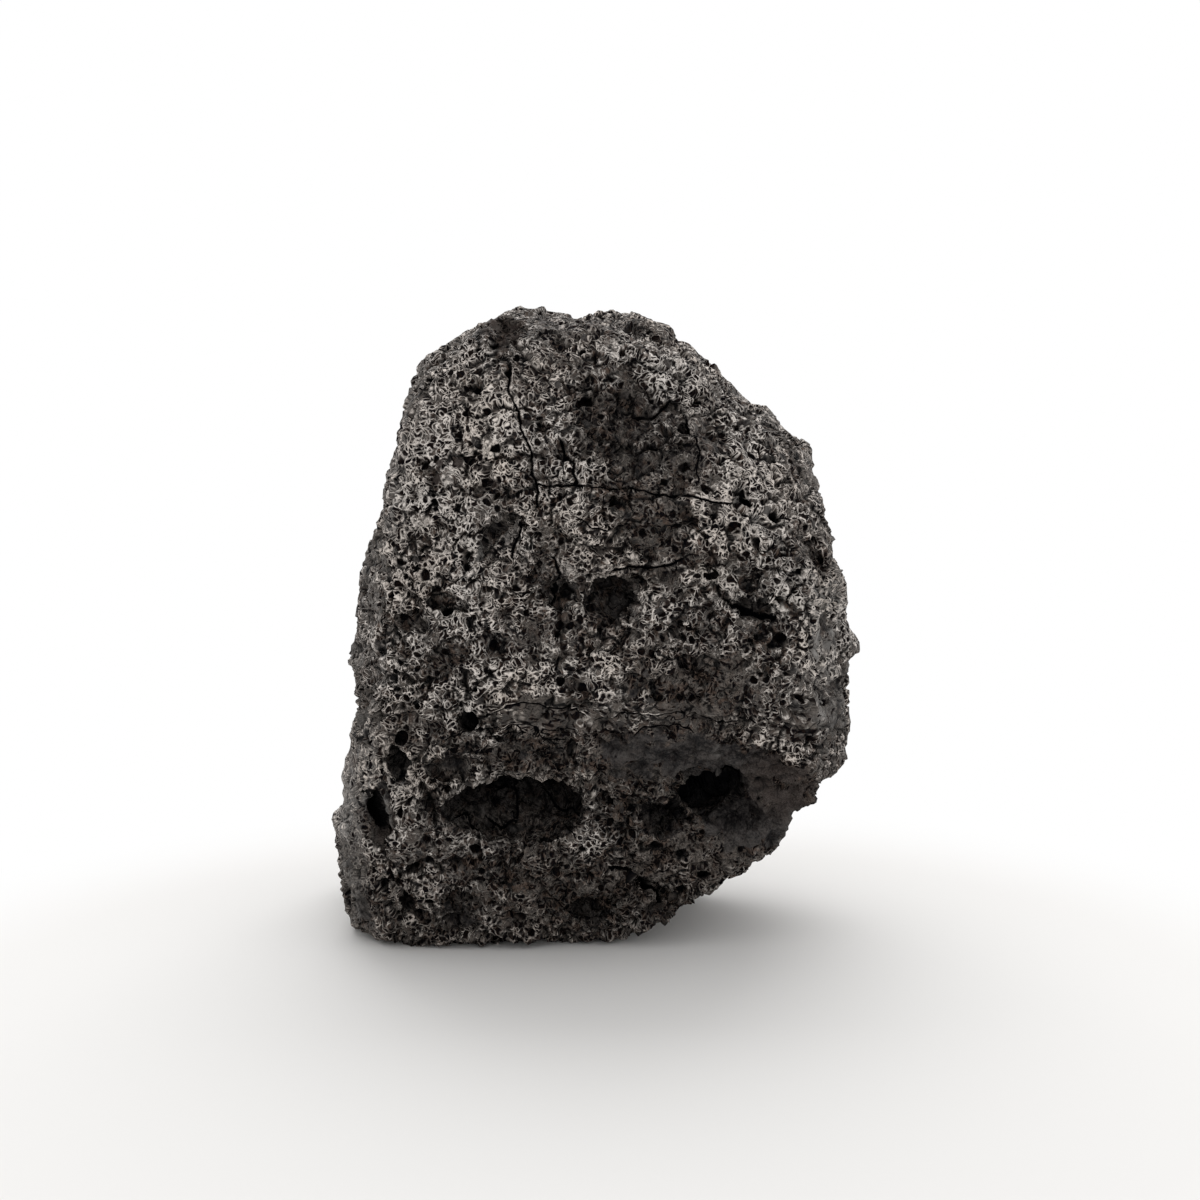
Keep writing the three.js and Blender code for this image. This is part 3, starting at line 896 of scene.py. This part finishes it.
# The streaky grey of worn crust, partly painted light on the flanks.
WORN_AND_LIT_GREY = ((0.085, 0.08, 0.075), (0.225, 0.21, 0.196))
MURK = ((0.001, 0.0011, 0.0018), (0.085, 0.077, 0.073))
# Coats: a colour, and the most of it that is mixed in.
# Painted light: the paler grey of flanks that face left or right.
LIT_FLANK = ((0.29, 0.276, 0.262), 0.75)
RUST = ((0.103, 0.066, 0.048), 0.7)
BROWN = ((0.072, 0.052, 0.041), 0.6)
MELTED_BROWN = ((0.07, 0.05, 0.041), 0.6)
BAND = ((0.075, 0.068, 0.062), 0.5)
# Painted shade: a near black in the recesses, where the surface lies below its local average.
RECESS_SHADE = ((0.0038, 0.004, 0.005), 0.8)
# Painted shadow: near black across the top band of a hollow, under its upper rim.
HOLLOW_TOP_SHADOW = ((0.0018, 0.0018, 0.0026), 0.7)
# Painted shade in the crevices.
CREVICE_SHADE = (SHADE_BLACK, 0.9)
# The most that is mixed in of the streaky grey, the plates and the murk.
WORN_AND_LIT_MOST = 0.75
PLATE_MOST = 0.7
MURK_MOST = 0.75
# The heights of the bump, in millimetres.
GRAIN_HEIGHT = 0.1
MOTTLE_HEIGHT = 0.5
HOLLOW_RUBBLE_HEIGHT = 3
# The rims are dimmer below the first height and full above the second, in waves: a painted shade towards the
# bottom.
SHADED_BELOW = 12
UNSHADED_ABOVE = 48
SHADE_EDGE_WAVES = 20


class StoneLook:
    """The stone's colour, shine and bump, from the values at the vertices and from noises."""

    def __init__(self, net):
        place = net.add("ShaderNodeAttribute", {}, "Vector", attribute_name="rest")
        at = {name: net.add("ShaderNodeAttribute", {}, "Fac", attribute_name=name) for name in KEPT_VALUES}
        self.net = net
        self.place = place
        self.at = SimpleNamespace(**at)
        self.broad = net.noise(place, *BROAD)
        self.grain = net.noise(place, *GRAIN)
        self.mottle = net.noise(place, *MOTTLE)
        self.rubble = net.noise(place, *RUBBLE)
        self.streaks = net.noise(net.vector("MULTIPLY", place, STREAKS_UPRIGHT), *STREAKS)
        self.plates = net.ramp(net.noise(place, *PLATES), 0.46, 0.62)
        self.kept = net.ramp(self.frayed(self.at.kept, 1), 0.2, 0.85, 0.14, 1)
        self.bubbles = Crust(net, warped(net, place), self.kept, self.at.streak)
        self.inside = self.frayed(self.at.hollow, 1.1)
        self.in_hollow = net.ramp(self.inside, -0.05, 0.22)
        self.soot_and_shade = self.soot_and_shade_of()
        self.worn_and_lit = self.worn_and_lit_of()
        self.cracked, self.crack_lip = self.cracks()
        rim, pit = self.bubbles.rim_and_pit()
        self.rim = net.larger(rim, net.times(self.lips(), self.kept))
        pit = net.times(pit, net.ramp(self.worn_and_lit, 0, 1, 1, 0.35))
        self.pit = net.times(pit, net.ramp(self.plates, 0, 1, 1, 0.45))

    def frayed(self, value, by):
        """The value frayed by the mottling, so that no edge is even."""
        return self.net.times_plus(self.net.centred(self.mottle), by, value)

    def shade(self, value, low, high, colours):
        """Between two colours, by where the value lies between low and high."""
        return self.net.colour(self.net.ramp(value, low, high), *colours)

    def coated(self, crust, where, coat):
        """The crust under a coat."""
        shade, most = coat
        return self.net.colour(self.net.times(where, most), crust, shade)

    def soot_and_shade_of(self):
        """How dark the crust is, in the dark zones and in the hollows: soot, with painted shadow under the
        hollows' upper rims.
        """
        net, dark = self.net, self.at.dark
        zones = net.times(net.ramp(self.frayed(dark, 0.9), 0.15, 0.8), net.ramp(dark, 0, 0.3))
        return net.larger(zones, net.times(self.in_hollow, self.at.soot_and_shade))

    def worn_and_lit_of(self):
        """How far the crust is worn to grey, in upright streaks on the flanks and in zones: wear, with painted
        side light on the flanks.
        """
        net = self.net
        flanks = net.times(self.at.side, net.ramp(self.streaks, 0.4, 0.6))
        zones = net.times(self.at.weather, net.ramp(self.streaks, 0.3, 0.5, 0.5, 1))
        return net.times(net.larger(flanks, zones), net.ramp(self.at.tone, -0.9, 0, 0.15, 1))

    def cracks(self):
        """1 in a crack, and 1 on the pale lip along its left side."""
        net = self.net
        across = self.frayed(self.at.crack, 1.3)
        near = net.ramp(self.at.crack_on, 0.3, 0.6)
        lip = net.times(net.ramp(across, 1.1, 1.6), net.ramp(across, 2.2, 3.4, 1, 0), near)
        return net.times(net.ramp(net.size(across), 0.7, 1.2, 1, 0), near), lip

    def lips(self):
        """The pale lips of the sooty hollows and of the cracks."""
        net = self.net
        rise = net.ramp(self.inside, -0.55, -0.12)
        fall = net.ramp(self.inside, -0.1, 0, 1, 0)
        hollow_lip = net.times(rise, fall, net.ramp(self.at.soot_and_shade, 0.3, 0.8), 0.6)
        return net.larger(hollow_lip, self.crack_lip)

    def crevice_shade(self):
        """1 in the crevices at the feet and tops of some ledges, painted black as their shade."""
        net = self.net
        at_ledge = net.ramp(net.size(self.frayed(self.at.ledge, 0.5)), 0.12, 0.42, 1, 0)
        some = net.ramp(net.noise(self.place, *CREVICES), 0.42, 0.54)
        return net.times(at_ledge, self.at.ledge_on, some)

    def melted_skin(self):
        """The blotchy colour of the places without bubbles."""
        net = self.net
        blotches = net.mix(0.4, net.mix(0.5, self.mottle, self.grain), self.rubble)
        skin = self.shade(blotches, 0.41, 0.58, MELT)
        return self.coated(skin, self.at.brown, MELTED_BROWN)

    def ground(self):
        """The colour between the rims and the pits."""
        net, at = self.net, self.at
        colour = self.shade(self.grain, 0.3, 0.7, GROUND)
        colour = self.coated(colour, net.ramp(net.noise(self.place, *RUST_SPOTS), 0.45, 0.6), RUST)
        colour = self.coated(colour, at.brown, BROWN)
        colour = net.colour(net.ramp(self.kept, 0.2, 0.9, 0.9, 0), colour, self.melted_skin())
        colour = self.coated(colour, self.bubbles.banded, BAND)
        colour = self.coated(colour, self.worn_and_lit, (self.shade(self.streaks, 0.35, 0.62, WORN_AND_LIT_GREY), WORN_AND_LIT_MOST))
        # Painted light: flanks that face left or right are paler, as if lit from the sides.
        colour = self.coated(colour, net.times(at.side, net.ramp(at.tone, 0.2, 1)), LIT_FLANK)
        plate = self.shade(self.grain, 0.3, 0.7, PLATE)
        return self.coated(colour, net.times(self.plates, self.kept), (plate, PLATE_MOST))

    def brightness_of_rims(self):
        """How strongly the pale rims show: in patches, broken, most where they stand out, and dimmed by painted
        shade in recesses and low down.
        """
        net, at = self.net, self.at
        patches = net.times_plus(at.tone, 0.08, net.noise(self.place, *PATCHES))
        patchy = net.ramp(patches, 0.38, 0.6, 0.4, 1.04)
        broken = net.ramp(net.noise(self.place, *BREAKS), 0.36, 0.6, 0.4, 1.2)
        # Wear on what stands out, and painted shade: rims dim where the surface lies below its local average.
        rubbed_and_shaded = net.ramp(at.proud, -0.45, 0.2, 0.15, 1)
        # Wear on exposed ridges, and painted light and shade by form: rims dim in the hollows between facets.
        bare_and_shaded = net.ramp(at.exposed, -1.2, 1.2, 0.5, 1)
        # Painted shade: the rims dim towards the bottom, in waves.
        level = net.times_plus(self.broad, SHADE_EDGE_WAVES, net.part(self.place, 2))
        unshaded = net.ramp(level, SHADED_BELOW, UNSHADED_ABOVE, 0.7, 1)
        fading = net.ramp(self.frayed(at.smooth, 1.2), 0, 0.7, 1, 0.35)
        # Rims dim in soot and in the painted shadow of the hollows.
        clear_of_soot_and_shade = net.ramp(self.soot_and_shade, 0, 1, 1, 0.3)
        clear_of_worn_and_lit = net.ramp(self.worn_and_lit, 0, 1, 1, 0.5)
        # Partly the crust's own tone, partly painted light and shade.
        by_tone_and_light = net.ramp(at.tone, -1, 1, 0.4, 1.4)
        return net.times(self.rim, patchy, broken, rubbed_and_shaded, bare_and_shaded, unshaded, fading, clear_of_soot_and_shade, clear_of_worn_and_lit, by_tone_and_light)

    def murk(self):
        """The colour of soot over rubble, darker still where a hollow's painted shadow is deepest."""
        net = self.net
        crease = net.ramp(net.size(net.centred(self.rubble)), 0.005, 0.07, 0, 1)
        blotchy = net.ramp(self.mottle, 0.38, 0.6, 0.25, 1)
        grainy = net.ramp(self.grain, 0.35, 0.6, 0.5, 1)
        lit = net.times(crease, blotchy, grainy, net.ramp(self.soot_and_shade, 0.3, 1, 1, 0.55))
        return net.colour(lit, *MURK)

    def painted_shade_blackness(self):
        """How black the cracks, the round holes and the deepest marks are: painted shade in their depths."""
        net = self.net
        deep = net.ramp(self.at.marks, 1, 2.2, 0, 0.85)
        burst = net.ramp(self.at.burst, 0.2, 0.8, 0, 0.95)
        return net.larger(self.cracked, net.larger(deep, burst))

    def colour(self):
        net = self.net
        # The pits are painted near black as their shade.
        pit_shade = self.shade(self.grain, 0.4, 0.6, PIT_SHADE)
        crust = net.colour(net.ramp(self.pit, 0.08, 0.46), self.ground(), pit_shade)
        pale = self.shade(self.broad, 0.35, 0.65, RIM)
        crust = net.colour(net.ramp(self.brightness_of_rims(), 0.05, 0.8), crust, pale)
        # Painted shade in the recesses, where the surface lies below its local average.
        crust = self.coated(crust, net.ramp(self.at.proud, -1, 0, 1, 0), RECESS_SHADE)
        # Soot, and the painted shadow of the hollows: the dark murk.
        crust = self.coated(crust, net.ramp(self.soot_and_shade, 0, 0.9), (self.murk(), MURK_MOST))
        # Painted shadow: the top band of a hollow, under its upper rim, goes near black.
        crust = self.coated(crust, net.times(self.in_hollow, net.ramp(self.at.soot_and_shade, 0.9, 1)), HOLLOW_TOP_SHADOW)
        # Painted shade: the crevices at some ledges go black.
        crust = self.coated(crust, self.crevice_shade(), CREVICE_SHADE)
        # Painted shade: cracks, round holes and the deepest marks go black.
        return net.colour(self.painted_shade_blackness(), crust, SHADE_BLACK)

    def normal(self):
        """The surface's direction, with the rims, the pits and the grain as a bump."""
        net = self.net
        relief = net.times_plus(self.grain, GRAIN_HEIGHT, self.bubbles.height())
        melted = net.times(self.mottle, net.one_minus(self.kept))
        relief = net.times_plus(melted, MOTTLE_HEIGHT, relief)
        rubble = net.times(self.rubble, net.math("ADD", self.at.dark, self.at.soot_and_shade))
        relief = net.times_plus(rubble, HOLLOW_RUBBLE_HEIGHT, relief)
        return net.add("ShaderNodeBump", {"Height": relief, "Distance": MM}, "Normal")

    def shine(self):
        """The crust shines a little, but hardly in pits, in soot and painted shadow, and in cracks."""
        net = self.net
        shine = net.times(net.ramp(self.pit, 0, 0.6, 0.15, 0.02), net.ramp(self.soot_and_shade, 0, 0.8, 1, 0.1))
        return net.times(shine, net.one_minus(self.cracked))

    def roughness(self):
        return self.net.ramp(self.rim, 0, 0.8, 0.75, 0.5)


def stone_material():
    material = bpy.data.materials.new("meteorite_crust")
    material.use_nodes = True
    tree = material.node_tree
    tree.nodes.clear()
    net = Net(tree)
    look = StoneLook(net)
    inputs = {
        "Base Color": look.colour(),
        "Roughness": look.roughness(),
        "Specular IOR Level": look.shine(),
        "Normal": look.normal(),
        "Metallic": 0,
    }
    shader = net.add("ShaderNodeBsdfPrincipled", inputs)
    net.node("ShaderNodeOutputMaterial", {"Surface": shader})
    return material


# ---- The stone ----


def build_stone():
    stone = dense_stone()
    normals = vertex_array(stone.data, "normal")
    points = trimmed(vertex_array(stone.data, "co") / MM, normals)
    stone.data.vertices.foreach_set("co", (points * MM).astype(np.float32).ravel())
    stone.data.update()
    kept = {
        "rest": points,
        "smooth": smoothness(points, normals),
        "streak": zone_mask(points, STREAK_ZONES),
        "dark": zone_mask(points, DARK_ZONES),
        "brown": zone_mask(points, BROWN_ZONES),
        "weather": zone_mask(points, WEATHERED_AND_LIT_ZONES),
        "tone": tone(points, normals),
        "side": sideways(normals),
        "exposed": exposure(points),
        **front_marks(points, normals),
    }
    for name, values in kept.items():
        store(stone.data, name, values)
    shape_modifier(stone, "lumps", lump_height)
    store(stone.data, "proud", proudness(stone.data, PROUD_ROUNDS))
    shape_modifier(stone, "holes", hole_height)
    thin_out(stone, TRIANGLES)
    stone.data.shade_smooth()
    stone.data.materials.clear()
    stone.data.materials.append(stone_material())
    return stone


stone = build_stone()
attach(stone, "root")
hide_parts("meteorite")


# ---- Floor, light and camera ----


def paper_material():
    """White paper, which glows white where it runs out of sight."""
    material = bpy.data.materials.new("floor_paper")
    material.use_nodes = True
    tree = material.node_tree
    shader = tree.nodes["Principled BSDF"]
    shader.inputs["Base Color"].default_value = PAPER_COLOUR
    shader.inputs["Roughness"].default_value = PAPER_ROUGHNESS
    net = Net(tree)
    place = net.add("ShaderNodeTexCoord", {}, "Object")
    from_middle = net.vector("SUBTRACT", place, PAPER_MIDDLE)
    away = net.add("ShaderNodeVectorMath", {0: from_middle}, "Value", operation="LENGTH")
    glow = net.add("ShaderNodeEmission", {"Color": WHITE, "Strength": 1})
    mixed = net.add("ShaderNodeMixShader", {0: net.ramp(away, *PAPER_FADE), 1: shader.outputs[0], 2: glow})
    tree.links.new(mixed, tree.nodes["Material Output"].inputs["Surface"])
    return material


def floor():
    half = PAPER_HALF_SIZE
    mesh = bpy.data.meshes.new("floor")
    corners = [(-half, -half, 0), (half, -half, 0), (half, half, 0), (-half, half, 0)]
    mesh.from_pydata(corners, [], [(0, 1, 2, 3)])
    mesh.materials.append(paper_material())
    new_object("floor", mesh)


def window():
    light = bpy.data.lights.new("window", "AREA")
    light.shape = "RECTANGLE"
    light.size, light.size_y = WINDOW_SIZE
    light.energy = WINDOW_POWER
    lamp = new_object("window", light)
    lamp.location = WINDOW_PLACE
    lamp.rotation_euler = (WINDOW_AIM - WINDOW_PLACE).to_track_quat("-Z", "Y").to_euler()


def world():
    """White to the eye, and a little stronger from behind the stone."""
    scene_world = bpy.data.worlds.new("studio")
    scene_world.use_nodes = True
    tree = scene_world.node_tree
    background = tree.nodes["Background"]
    background.inputs["Color"].default_value = WHITE
    net = Net(tree)
    along = net.part(net.add("ShaderNodeTexCoord", {}, "Generated"), 1)
    lit = net.ramp(along, -1, 0.1, WORLD_FRONT, WORLD_BACK)
    seen = net.add("ShaderNodeLightPath", {}, "Is Camera Ray")
    tree.links.new(net.mix(seen, lit, 1), background.inputs["Strength"])
    bpy.context.scene.world = scene_world


def camera():
    data = bpy.data.cameras.new("camera")
    data.sensor_width = SENSOR_WIDTH_MM
    data.lens = data.sensor_width / 2 / math.tan(CAMERA_VIEW_ANGLE / 2)
    data.clip_start = 0.01
    data.clip_end = 10
    eye = new_object("camera", data)
    back = Vector((0, -math.cos(CAMERA_ELEVATION), math.sin(CAMERA_ELEVATION)))
    eye.location = CAMERA_TARGET + back * CAMERA_DISTANCE
    eye.rotation_euler = (-back).to_track_quat("-Z", "Y").to_euler()
    bpy.context.scene.camera = eye


floor()
world()
window()
camera()

scene = bpy.context.scene
scene.view_settings.view_transform = "Standard"
scene.view_settings.look = "None"
